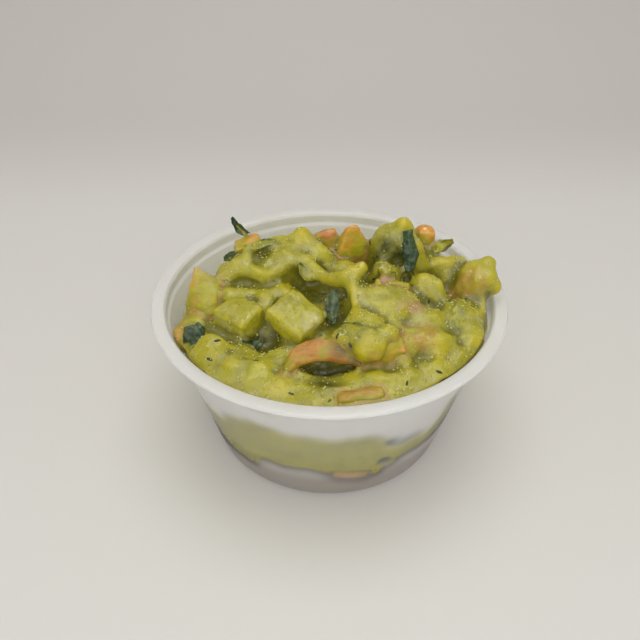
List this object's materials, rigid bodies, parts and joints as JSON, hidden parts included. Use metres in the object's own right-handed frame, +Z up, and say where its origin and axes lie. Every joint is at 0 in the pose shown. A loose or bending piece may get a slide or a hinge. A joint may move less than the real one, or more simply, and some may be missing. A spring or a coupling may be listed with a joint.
{
  "type": "guacamole in a portion cup",
  "caption": "Chunky guacamole heaped above the rim of a small translucent plastic portion cup, with diced tomato and onion and chopped coriander leaf.",
  "frame": {"origin": "centre of the cup's foot, on the surface it stands on", "axes": "+Z up out of the cup; -Y towards the heap's low shelf, which is the side it is usually seen from; +X to the right seen from there"},
  "size_m": [0.075, 0.075, 0.0491],
  "materials": {
    "cup": "thin natural polypropylene, milky and translucent, satin outside and brighter along the rolled rim",
    "guacamole": "mashed avocado, wet and glossy, yellow-green with paler and duller patches, tiny bubbles and grain",
    "tomato": "wet diced tomato, orange flesh with redder skin, partly under a film of dip",
    "onion": "translucent diced onion, greenish white under a film of dip",
    "red_onion": "slivers of red onion, dull purple and pink",
    "leaf": "chopped coriander leaf, dark green with paler veins, wet"
  },
  "bodies": {
    "root": {"cup": "cup", "guacamole": "guacamole", "tomato_top_left": "tomato", "tomato_back": "tomato", "tomato_back_skin": "tomato", "tomato_back_right": "tomato", "tomato_left": "tomato", "tomato_front": "tomato", "tomato_front_right": "tomato", "tomato_right": "tomato", "tomato_left_edge": "tomato", "tomato_front_lip": "tomato", "tomato_middle": "tomato", "tomato_low": "tomato", "onion_left": "onion", "onion_middle": "onion", "onion_red_upper": "red_onion", "onion_red_lower": "red_onion", "leaf_sprig": "leaf", "leaf_back_left": "leaf", "leaf_crest": "leaf", "leaf_dark": "leaf", "leaf_curl": "leaf", "leaf_left": "leaf", "leaf_under_ridge": "leaf", "leaf_hollow": "leaf", "leaf_green": "leaf", "leaf_right": "leaf", "leaf_pocket": "leaf", "leaf_front": "leaf", "leaf_wall_streak": "leaf", "leaf_wall_low": "leaf"}
  },
  "joints": []
}
